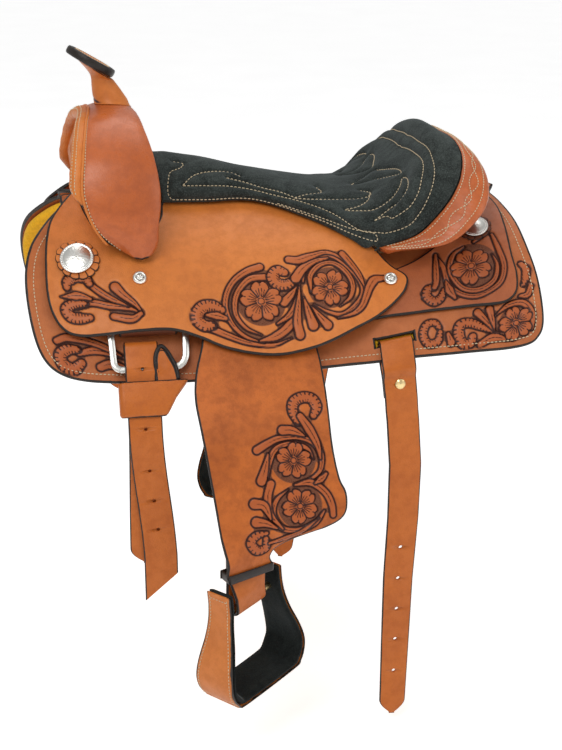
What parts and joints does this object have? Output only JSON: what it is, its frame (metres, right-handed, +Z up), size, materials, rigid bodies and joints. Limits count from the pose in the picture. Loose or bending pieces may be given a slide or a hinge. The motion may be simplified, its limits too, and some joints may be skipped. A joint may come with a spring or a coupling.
{
  "type": "western pony saddle",
  "caption": "Western pony saddle of tan tooled leather with a wrapped horn, quilted black suede seat, fenders, bell stirrups, a latigo and rear billets.",
  "frame": {"origin": "On the spine line at the underside of the lining, above the lowest point of the back line, where the saddle bears on a back or a rack.", "axes": "Front (horn) towards -X, near side (the horse's left) towards -Y, up is +Z, metres."},
  "size_m": [0.541, 0.6133, 0.7221],
  "materials": {
    "tan_leather": "oiled tan, tooled and stitched",
    "dark_leather": "dark brown with dyed edges",
    "black_suede": "black suede, napped",
    "yellow_lining": "golden woollen lining",
    "tree_wood": "plain",
    "nickel": "polished nickel plate",
    "steel": "plain steel",
    "brass": "plain brass"
  },
  "bodies": {
    "saddle": {"cantle_back": "tan_leather", "cheyenne_roll": "tan_leather", "concho_front_near": "nickel", "concho_front_off": "nickel", "concho_rear_near": "nickel", "concho_rear_off": "nickel", "fleece_near": "yellow_lining", "fleece_off": "yellow_lining", "ground_seat": "steel", "gullet_cover": "tan_leather", "horn_cap": "tan_leather", "horn_core": "steel", "horn_wrap": "tan_leather", "jockey_near": "tan_leather", "jockey_off": "tan_leather", "rear_billet_loop_near": "tan_leather", "rear_billet_loop_off": "tan_leather", "rear_jockey_near": "tan_leather", "rear_jockey_off": "tan_leather", "rigging_strap_near": "tan_leather", "rigging_strap_off": "tan_leather", "rosette_front_near": "dark_leather", "rosette_front_off": "dark_leather", "screw_front_near": "nickel", "screw_front_off": "nickel", "screw_rear_near": "nickel", "screw_rear_off": "nickel", "seat_pad": "black_suede", "skirt_near": "tan_leather", "skirt_off": "tan_leather", "swell_cover": "tan_leather", "tree_bar_near": "tree_wood", "tree_bar_off": "tree_wood", "tree_cantle": "tree_wood", "tree_fork": "tree_wood", "welt": "tan_leather"},
    "fender_near": {"fender_near": "tan_leather", "stirrup_leather_near": "dark_leather", "keeper_near": "dark_leather"},
    "stirrup_near": {"stirrup_cover_near": "tan_leather", "stirrup_frame_near": "black_suede", "stirrup_bolt_near": "steel"},
    "dee_near": {"front_dee_near": "nickel"},
    "latigo": {"latigo": "tan_leather", "latigo_wrap": "tan_leather"},
    "rear_billet_near": {"rear_billet_near": "tan_leather", "billet_rivet_near": "brass"},
    "fender_off": {"fender_off": "tan_leather", "stirrup_leather_off": "dark_leather", "keeper_off": "dark_leather"},
    "stirrup_off": {"stirrup_cover_off": "tan_leather", "stirrup_frame_off": "black_suede", "stirrup_bolt_off": "steel"},
    "dee_off": {"front_dee_off": "nickel"},
    "off_billet": {"off_billet": "tan_leather", "off_billet_rivet": "brass"},
    "rear_billet_off": {"rear_billet_off": "tan_leather", "billet_rivet_off": "brass"}
  },
  "joints": [
    {"name": "fender_swing_near", "type": "hinge", "parent": "saddle", "child": "fender_near", "pos_m": [-0.015, -0.1104, -0.02336], "axis": [-0.02, -0.777, 0.6292], "range_deg": [-12, 15]},
    {"name": "stirrup_turn_near", "type": "hinge", "parent": "fender_near", "child": "stirrup_near", "pos_m": [-0.03723, -0.25322, -0.34777], "axis": [0.7725, 0.6264, 0.1045], "range_deg": [-35, 35]},
    {"name": "dee_lift_near", "type": "hinge", "parent": "saddle", "child": "dee_near", "pos_m": [-0.121, -0.14959, -0.07908], "axis": [-0.9998, 0.0219, 0], "range_deg": [0, 35]},
    {"name": "latigo_swing", "type": "hinge", "parent": "dee_near", "child": "latigo", "pos_m": [-0.13047, -0.17114, -0.11618], "axis": [-0.9998, 0.0219, 0], "range_deg": [0, 55]},
    {"name": "rear_billet_swing_near", "type": "hinge", "parent": "saddle", "child": "rear_billet_near", "pos_m": [0.138, -0.18718, -0.11867], "axis": [-1, 0, 0], "range_deg": [-15, 28]},
    {"name": "fender_swing_off", "type": "hinge", "parent": "saddle", "child": "fender_off", "pos_m": [-0.015, 0.1104, -0.02336], "axis": [0.02, -0.777, -0.6292], "range_deg": [-22, 0]},
    {"name": "stirrup_turn_off", "type": "hinge", "parent": "fender_off", "child": "stirrup_off", "pos_m": [0.03735, 0.25256, -0.34459], "axis": [0.6717, -0.7334, 0.1045], "range_deg": [-35, 35]},
    {"name": "dee_lift_off", "type": "hinge", "parent": "saddle", "child": "dee_off", "pos_m": [-0.121, 0.14959, -0.07908], "axis": [0.9998, 0.0219, 0], "range_deg": [0, 35]},
    {"name": "off_billet_swing", "type": "hinge", "parent": "dee_off", "child": "off_billet", "pos_m": [-0.12148, 0.17134, -0.11618], "axis": [0.9998, 0.0219, 0], "range_deg": [-8, 55]},
    {"name": "rear_billet_swing_off", "type": "hinge", "parent": "saddle", "child": "rear_billet_off", "pos_m": [0.138, 0.18718, -0.11867], "axis": [1, 0, 0], "range_deg": [-15, 0]}
  ]
}
